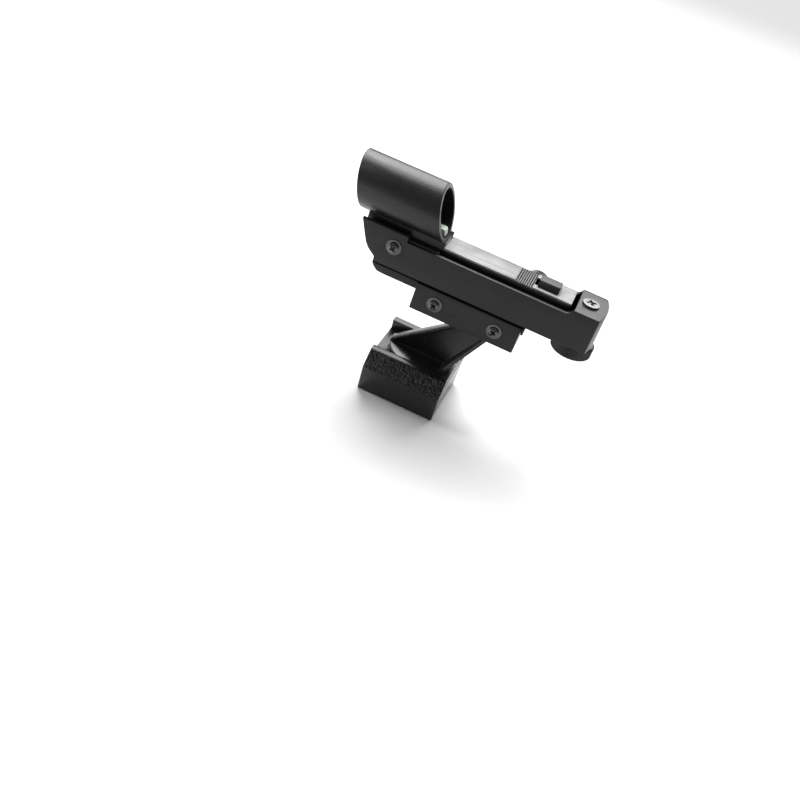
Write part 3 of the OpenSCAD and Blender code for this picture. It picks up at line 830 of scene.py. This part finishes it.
def wheel(material, radius, height, teeth, depth, shoulder, dish, place, turn=Matrix.Identity(4)):
    """A knurled wheel mesh, turned and placed."""
    mesh = grow(
        geometry_tree("wheel"), material, radius=radius, height=height, teeth=teeth, depth=depth,
        shoulder=shoulder, dish=dish,
    )
    mesh.transform(turn)
    mesh.transform(Matrix.Translation(place))
    return mesh


def rod(radius, low, high, centre):
    """A plain round rod mesh along Y, from low to high, through a point."""
    shape = bmesh.new()
    bmesh.ops.create_cone(
        shape, cap_ends=True, segments=ROD_SIDES, radius1=radius, radius2=radius, depth=high - low
    )
    mesh = bpy.data.meshes.new("rod")
    shape.to_mesh(mesh)
    shape.free()
    mesh.transform(TO_Y)
    mesh.transform(Matrix.Translation(Vector((centre.x, (low + high) / 2, centre.z))))
    return mesh


# ---------------------------------------------------------------- settings


class FINDER_PG_sizes(bpy.types.PropertyGroup):
    """Sizes of the edges and knurls."""

    casting_edge: FloatProperty(
        name="Casting Edge", description="Rounding of the shoe's edges in millimetres", default=0.45, min=0.05
    )
    moulded_edge: FloatProperty(
        name="Moulded Edge", description="Rounding of the moulded parts in millimetres", default=0.3, min=0.05
    )
    thin_edge: FloatProperty(
        name="Thin Edge", description="Rounding of small parts in millimetres", default=0.12, min=0.02
    )
    knob_teeth: IntProperty(
        name="Altitude Teeth", description="Teeth round the altitude knob", default=60, min=12
    )
    side_teeth: IntProperty(
        name="Azimuth Teeth", description="Teeth round the azimuth knob", default=44, min=12
    )
    thumb_teeth: IntProperty(
        name="Thumbscrew Teeth", description="Teeth round the thumbscrew", default=32, min=12
    )
    grip_pitch: FloatProperty(
        name="Grip Pitch", description="Spacing of the grip's points", default=0.0011, min=0.0004,
        unit="LENGTH", precision=5,
    )


class FINDER_PG_tones(bpy.types.PropertyGroup):
    """Colours of the main finishes and the light."""

    body_black: FloatVectorProperty(
        name="Body Black", description="Moulded parts", subtype="COLOR", default=(0.012, 0.011, 0.0105),
        min=0.0, max=1.0,
    )
    shoe_black: FloatVectorProperty(
        name="Shoe Black", description="Crinkle paint of the shoe", subtype="COLOR",
        default=(0.013, 0.011, 0.01), min=0.0, max=1.0,
    )
    floor: FloatVectorProperty(
        name="Floor", description="Studio floor", subtype="COLOR", default=(0.8, 0.8, 0.8),
        min=0.0, max=1.0,
    )
    softbox: FloatProperty(
        name="Softbox", description="Power of the large light behind and above", default=12.0, min=0.0,
        unit="POWER",
    )
    side: EnumProperty(
        name="Key Side", description="Side that the smaller light stands on",
        items=[("LEFT", "Left", "Front end side"), ("RIGHT", "Right", "Eye end side")], default="LEFT",
    )


# ---------------------------------------------------------------- operators


class FINDER_OT_materials(bpy.types.Operator):
    """Make every finish"""

    bl_idname = "finder.materials"
    bl_label = "Finishes"

    def execute(self, context):
        make_materials(context.scene.finder_tones)
        return {"FINISHED"}


class FINDER_OT_shoe(bpy.types.Operator):
    """Build the crinkle-painted shoe"""

    bl_idname = "finder.shoe"
    bl_label = "Shoe"

    def execute(self, context):
        rounded("shoe_casting", "base_shoe", context.scene.finder_sizes.casting_edge)
        return {"FINISHED"}


class FINDER_OT_thumbscrew(bpy.types.Operator):
    """Build the thumbscrew and its pad"""

    bl_idname = "finder.thumbscrew"
    bl_label = "Thumbscrew"

    def execute(self, context):
        sizes = context.scene.finder_sizes
        low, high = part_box("thumbscrew")
        middle = (low + high) / 2
        radius = (high.x - low.x) / 2
        head_len = 5.8 * MM
        under = high.y - head_len
        neck_r, shank_r, tip_r = 3 * MM, 2 * MM, 1 * MM
        knurl = wheel(
            MATERIALS["steel"], radius, head_len, sizes.thumb_teeth, depth=0.5 * MM, shoulder=0.7 * MM,
            dish=0.3 * MM, place=Vector((middle.x, high.y - head_len / 2, middle.z)), turn=TO_Y,
        )
        neck = rod(neck_r, under - 1 * MM, under + 0.3 * MM, middle)
        shank = rod(shank_r, low.y + 0.8 * MM, under, middle)
        tip = rod(tip_r, low.y, low.y + 1.2 * MM, middle)
        piece("thumbscrew_turned", [knurl, neck, shank, tip], "thumbscrew")
        rounded("clamping_pad", "thumb_pad", 0.15, 2)
        return {"FINISHED"}


class FINDER_OT_stand(bpy.types.Operator):
    """Build the dovetail stand with its blade"""

    bl_idname = "finder.stand"
    bl_label = "Stand"

    def execute(self, context):
        rounded("stand_casting", "stand", context.scene.finder_sizes.casting_edge)
        return {"FINISHED"}


class FINDER_OT_clamp(bpy.types.Operator):
    """Build the clamp plates, their screws and washers"""

    bl_idname = "finder.clamp"
    bl_label = "Clamp"

    def execute(self, context):
        for side in ("left", "right"):
            rounded(f"clamp_{side}", f"clamp_plate_{side}", context.scene.finder_sizes.moulded_edge)
        rounded("clamp_washers_turned", "clamp_washers", 0.12, 2)
        low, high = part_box("clamp_screws")
        _, washer_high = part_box("clamp_washers")
        head_r = (high.z - low.z) / 2
        head_h = high.y - washer_high.y
        places = [
            (Vector((x, side * washer_high.y, (low.z + high.z) / 2)), Vector((0, side, 0)))
            for x in (low.x + head_r, high.x - head_r)
            for side in (-1, 1)
        ]
        screws(
            "clamp_screw_set", "clamp_screws", places, head_r, head_h, shank_r=1.5 * MM,
            shank_len=10 * MM, cross=3.1 * MM, seed=4,
        )
        return {"FINISHED"}


class FINDER_OT_base_body(bpy.types.Operator):
    """Build the base body, battery, contacts and sliding cover"""

    bl_idname = "finder.base_body"
    bl_label = "Base Body"

    def execute(self, context):
        sizes = context.scene.finder_sizes
        rounded("base_moulding", "base_body", sizes.thin_edge, 2)
        rounded("battery_cover_moulding", "battery_cover", sizes.thin_edge, 2)
        rounded("button_battery", "battery", 0.25, 3)
        rounded("contact_leaves", "battery_contacts", 0.05, 1)
        return {"FINISHED"}


class FINDER_OT_pivot(bpy.types.Operator):
    """Build the tilt pivot's screws and washers"""

    bl_idname = "finder.pivot"
    bl_label = "Tilt Pivot"

    def execute(self, context):
        low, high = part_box("pivot_screws")
        _, washer_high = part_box("pivot_washers")
        head_r = (high.z - low.z) / 2
        middle = (low + high) / 2
        places = [
            (Vector((middle.x, side * washer_high.y, middle.z)), Vector((0, side, 0))) for side in (-1, 1)
        ]
        screws(
            "pivot_screw_pair", "pivot_screws", places, head_r, high.y - washer_high.y,
            shank_r=1.95 * MM, shank_len=7.8 * MM, cross=3.2 * MM, seed=9,
        )
        rounded("pivot_washer_pair", "pivot_washers", 0.12, 2)
        return {"FINISHED"}


class FINDER_OT_frame(bpy.types.Operator):
    """Build the tilting frame"""

    bl_idname = "finder.frame"
    bl_label = "Frame"

    def execute(self, context):
        rounded("frame_moulding", "frame", context.scene.finder_sizes.moulded_edge)
        return {"FINISHED"}


class FINDER_OT_altitude(bpy.types.Operator):
    """Build the altitude bolt, knob, nut and spring"""

    bl_idname = "finder.altitude"
    bl_label = "Altitude Drive"

    def execute(self, context):
        low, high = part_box("altitude_knob")
        middle = (low + high) / 2
        radius = (high.x - low.x) / 2
        knurl = wheel(
            MATERIALS["knob_plastic"], radius, high.z - low.z, context.scene.finder_sizes.knob_teeth,
            depth=0.45 * MM, shoulder=0.6 * MM, dish=0.5 * MM, place=middle,
        )
        piece("altitude_knob_moulding", knurl, "altitude_knob")
        low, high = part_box("altitude_bolt")
        head_r = (high.x - low.x) / 2
        head_h = 1.05 * MM
        places = [(Vector((middle.x, 0, high.z - head_h)), Vector((0, 0, 1)))]
        screws(
            "altitude_bolt_turned", "altitude_bolt", places, head_r, head_h, shank_r=2 * MM,
            shank_len=high.z - head_h - low.z, cross=5.0 * MM, seed=2, flat=0.35,
        )
        rounded("altitude_nut_cut", "altitude_nut", 0.15, 2)
        low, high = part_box("altitude_spring")
        wire = 0.35 * MM
        end_gap = 1.2 * wire
        coil = grow(
            geometry_tree("coil"), MATERIALS["steel"], radius=(high.x - low.x) / 2 - wire, wire=wire,
            height=high.z - low.z - 2 * end_gap, turns=6.0,
        )
        coil.transform(Matrix.Translation(Vector((middle.x, 0, low.z + end_gap))))
        piece("altitude_coil", coil, "altitude_spring")
        return {"FINISHED"}


class FINDER_OT_azimuth(bpy.types.Operator):
    """Build the azimuth knob, screw, clip and nut"""

    bl_idname = "finder.azimuth"
    bl_label = "Azimuth Drive"

    def execute(self, context):
        low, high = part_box("azimuth_knob")
        middle = (low + high) / 2
        radius = (high.z - low.z) / 2
        rim = 5.55 * MM
        knurl = wheel(
            MATERIALS["knob_plastic"], radius, rim, context.scene.finder_sizes.side_teeth,
            depth=0.45 * MM, shoulder=0.5 * MM, dish=0.4 * MM,
            place=Vector((middle.x, high.y - rim / 2, middle.z)), turn=TO_Y,
        )
        collar_r = 3 * MM
        collar = rod(collar_r, low.y, high.y - rim + 0.6 * MM, middle)
        piece("azimuth_knob_moulding", [knurl, collar], "azimuth_knob")
        rounded("azimuth_screw_turned", "azimuth_screw", 0.2, 2)
        rounded("azimuth_clip_ring", "azimuth_clip", 0.1, 2)
        rounded("azimuth_nut_cut", "azimuth_nut", 0.15, 2)
        return {"FINISHED"}


class FINDER_OT_arm(bpy.types.Operator):
    """Build the swinging arm, its pivot, top strip and grip"""

    bl_idname = "finder.arm"
    bl_label = "Arm"

    def execute(self, context):
        sizes = context.scene.finder_sizes
        rounded("arm_moulding", "arm", sizes.thin_edge, 2)
        rounded("top_strip_plate", "top_strip", 0.15, 2)
        low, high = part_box("grip_pad")
        rise = 0.34 * MM
        points = grow(
            geometry_tree("diamond"), MATERIALS["grip_metal"], length=high.x - low.x, width=high.y - low.y,
            pitch=sizes.grip_pitch, rise=rise,
        )
        points.transform(Matrix.Translation(Vector(((low.x + high.x) / 2, 0, high.z - rise))))
        plate = bmesh.new()
        bmesh.ops.create_cube(plate, size=1.0)
        plate_mesh = bpy.data.meshes.new("grip_plate")
        plate.to_mesh(plate_mesh)
        plate.free()
        thick = high.z - rise - low.z
        plate_mesh.transform(
            Matrix.Translation(Vector(((low.x + high.x) / 2, 0, low.z + thick / 2)))
            @ Matrix.Diagonal((high.x - low.x, high.y - low.y, thick, 1.0))
        )
        piece("grip_patch", [plate_mesh, points], "grip_pad", smooth=10.0)
        low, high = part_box("arm_pivot_screw")
        middle = (low + high) / 2
        head_h = 1.8 * MM
        places = [(Vector((middle.x, 0, low.z + head_h)), Vector((0, 0, -1)))]
        screws(
            "arm_pivot_screw_turned", "arm_pivot_screw", places, (high.x - low.x) / 2, head_h,
            shank_r=1.5 * MM, shank_len=high.z - low.z - head_h, cross=3.1 * MM, seed=6,
        )
        rounded("arm_pivot_washer_ring", "arm_pivot_washer", 0.1, 2)
        return {"FINISHED"}


class FINDER_OT_sight(bpy.types.Operator):
    """Build the sight tube, lens, ring and lamp"""

    bl_idname = "finder.sight"
    bl_label = "Sight Tube"

    def execute(self, context):
        rounded("sight_tube_turned", "sight_tube", 0.35, 3)
        rounded("lens_element", "lens", 0.2, 2)
        rounded("lens_ring_turned", "lens_ring", 0.12, 2)
        rounded("lamp_holder", "led_holder", 0.3, 3)
        rounded("lamp", "led", 0.3, 3)
        return {"FINISHED"}


class FINDER_OT_switch(bpy.types.Operator):
    """Build the slide switch and its board"""

    bl_idname = "finder.switch"
    bl_label = "Switch"

    def execute(self, context):
        rounded("switch_cap", "switch_slider", 0.3, 3)
        rounded("switch_housing", "switch_body", 0.12, 2)
        low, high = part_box("circuit_board")
        chips = grow(
            geometry_tree("parts"), MATERIALS["knob_plastic"], length=(high.x - low.x) * CHIP_FIELD[0],
            width=(high.y - low.y) * CHIP_FIELD[1], seed=5,
        )
        under_board = Vector((0, 0, (high.z - low.z) / 2 - 0.1 * MM))
        chips.transform(Matrix.Translation((low + high) / 2 - under_board))
        piece("board_plate", [softened("circuit_board", 0.08, 1), chips], "circuit_board")
        return {"FINISHED"}


class FINDER_OT_stage(bpy.types.Operator):
    """Build the floor, the lights and the camera"""

    bl_idname = "finder.stage"
    bl_label = "Stage"

    def execute(self, context):
        tones = context.scene.finder_tones
        build_floor(tuple(tones.floor))
        build_lights(tones.softbox, -1.0 if tones.side == "LEFT" else 1.0)
        build_camera()
        return {"FINISHED"}


FLOOR_REACH = 6.0
FLOOR_GAP = 0.00005
LIGHT_AIM = Vector((0.01, 0.0, 0.07))
OVERHEAD_STRENGTH = 2.6
OVERHEAD_SPREAD = math.radians(40.0)
OVERHEAD_WAY = Vector((0.25, -0.45, -1.0))
AROUND_STRENGTH = 0.22
SIDE_SHARE = 0.32  # power of the side light over that of the softbox
LENS_MM = 48.245
SENSOR_MM = 36.0
VIEW_ANGLES = (7.642, 34.428, 20.479)  # azimuth, elevation and roll in degrees
VIEW_PLACE = Vector((0.0633, -0.4750, 0.3151))


def build_floor(colour):
    """A wide pale floor under the saddle's edges."""
    mesh = bpy.data.meshes.new("floor")
    height = CAD_BOX[0].z - FLOOR_GAP
    corners = ((-1, -1), (1, -1), (1, 1), (-1, 1))
    mesh.from_pydata([(x * FLOOR_REACH, y * FLOOR_REACH, height) for x, y in corners], [], [(0, 1, 2, 3)])
    floor = hold(mesh, "studio_floor")
    material, tree, shader, coords = start_material("floor_paper")
    fine = place_group(tree, "grain", coords, scale=400.0, rough_low=0.75, rough_high=0.85)
    shader.inputs["Base Color"].default_value = (*colour, 1.0)
    tree.links.new(fine.outputs["Roughness"], shader.inputs["Roughness"])
    mesh.materials.append(material)


def area_light(name, place, width, height, power):
    """A rectangular softbox that looks at the middle of the finder."""
    lamp = bpy.data.lights.new(name, "AREA")
    lamp.shape = "RECTANGLE"
    lamp.size = width
    lamp.size_y = height
    lamp.energy = power
    stand = bpy.data.objects.new(name, lamp)
    bpy.context.scene.collection.objects.link(stand)
    stand.location = place
    stand.rotation_euler = (LIGHT_AIM - place).to_track_quat("-Z", "Y").to_euler()


def build_lights(power, side):
    """A broad overhead light, a softbox behind, a smaller one at one end, and even light all round."""
    sky = bpy.data.lights.new("overhead", "SUN")
    sky.energy = OVERHEAD_STRENGTH
    sky.angle = OVERHEAD_SPREAD
    broad = bpy.data.objects.new("overhead", sky)
    bpy.context.scene.collection.objects.link(broad)
    broad.rotation_euler = OVERHEAD_WAY.to_track_quat("-Z", "Y").to_euler()
    behind = LIGHT_AIM + Vector((-0.06, 0.72, 0.62))
    beside = LIGHT_AIM + Vector((side * 0.8, -0.2, 0.62))
    area_light("softbox_back", behind, width=1.1, height=0.7, power=power)
    area_light("softbox_side", beside, width=0.35, height=0.35, power=power * SIDE_SHARE)
    world = bpy.data.worlds.new("studio")
    world.use_nodes = True
    glow = world.node_tree.nodes["Background"]
    glow.inputs["Color"].default_value = (1.0, 1.0, 1.0, 1.0)
    glow.inputs["Strength"].default_value = AROUND_STRENGTH
    bpy.context.scene.world = world
    bpy.context.scene.view_settings.view_transform = "Standard"


def build_camera():
    """A camera at the viewing angle: azimuth, elevation and roll about the line of sight."""
    azimuth, elevation, roll = (math.radians(angle) for angle in VIEW_ANGLES)
    flat = math.cos(elevation)
    back = Vector((math.sin(azimuth) * flat, -math.cos(azimuth) * flat, math.sin(elevation)))
    level = Vector((math.cos(azimuth), math.sin(azimuth), 0.0))
    lift = back.cross(level)
    right = level * math.cos(roll) + lift * math.sin(roll)
    up = lift * math.cos(roll) - level * math.sin(roll)
    data = bpy.data.cameras.new("view")
    data.sensor_width = SENSOR_MM
    data.lens = LENS_MM
    data.clip_start = 0.01
    camera = bpy.data.objects.new("view", data)
    turn = Matrix((right, up, back)).transposed().to_4x4()
    camera.matrix_world = Matrix.Translation(VIEW_PLACE) @ turn
    bpy.context.scene.collection.objects.link(camera)
    bpy.context.scene.camera = camera


class FINDER_PT_panel(bpy.types.Panel):
    """Sizes, colours and the steps in order"""

    bl_idname = "FINDER_PT_panel"
    bl_label = "Red-dot Finder"
    bl_space_type = "VIEW_3D"
    bl_region_type = "UI"
    bl_category = "Finder"

    def draw(self, context):
        for group in (context.scene.finder_sizes, context.scene.finder_tones):
            column = self.layout.column()
            for key in group.bl_rna.properties.keys():
                if key not in ("rna_type", "name"):
                    column.prop(group, key)
        for operator in STEPS:
            self.layout.operator(operator.bl_idname)


STEPS = (
    FINDER_OT_materials,
    FINDER_OT_shoe,
    FINDER_OT_thumbscrew,
    FINDER_OT_stand,
    FINDER_OT_clamp,
    FINDER_OT_base_body,
    FINDER_OT_pivot,
    FINDER_OT_frame,
    FINDER_OT_altitude,
    FINDER_OT_azimuth,
    FINDER_OT_arm,
    FINDER_OT_sight,
    FINDER_OT_switch,
    FINDER_OT_stage,
)
CLASSES = (FINDER_PG_sizes, FINDER_PG_tones, *STEPS, FINDER_PT_panel)


def register():
    """Adds the classes and their settings."""
    for item in CLASSES:
        bpy.utils.register_class(item)
    bpy.types.Scene.finder_sizes = PointerProperty(type=FINDER_PG_sizes)
    bpy.types.Scene.finder_tones = PointerProperty(type=FINDER_PG_tones)


def unregister():
    """Takes them away again."""
    del bpy.types.Scene.finder_tones
    del bpy.types.Scene.finder_sizes
    for item in reversed(CLASSES):
        bpy.utils.unregister_class(item)


def main():
    """Builds every piece in order."""
    register()
    for operator in STEPS:
        family, name = operator.bl_idname.split(".")
        getattr(getattr(bpy.ops, family), name)()


if __name__ == "__main__":
    main()
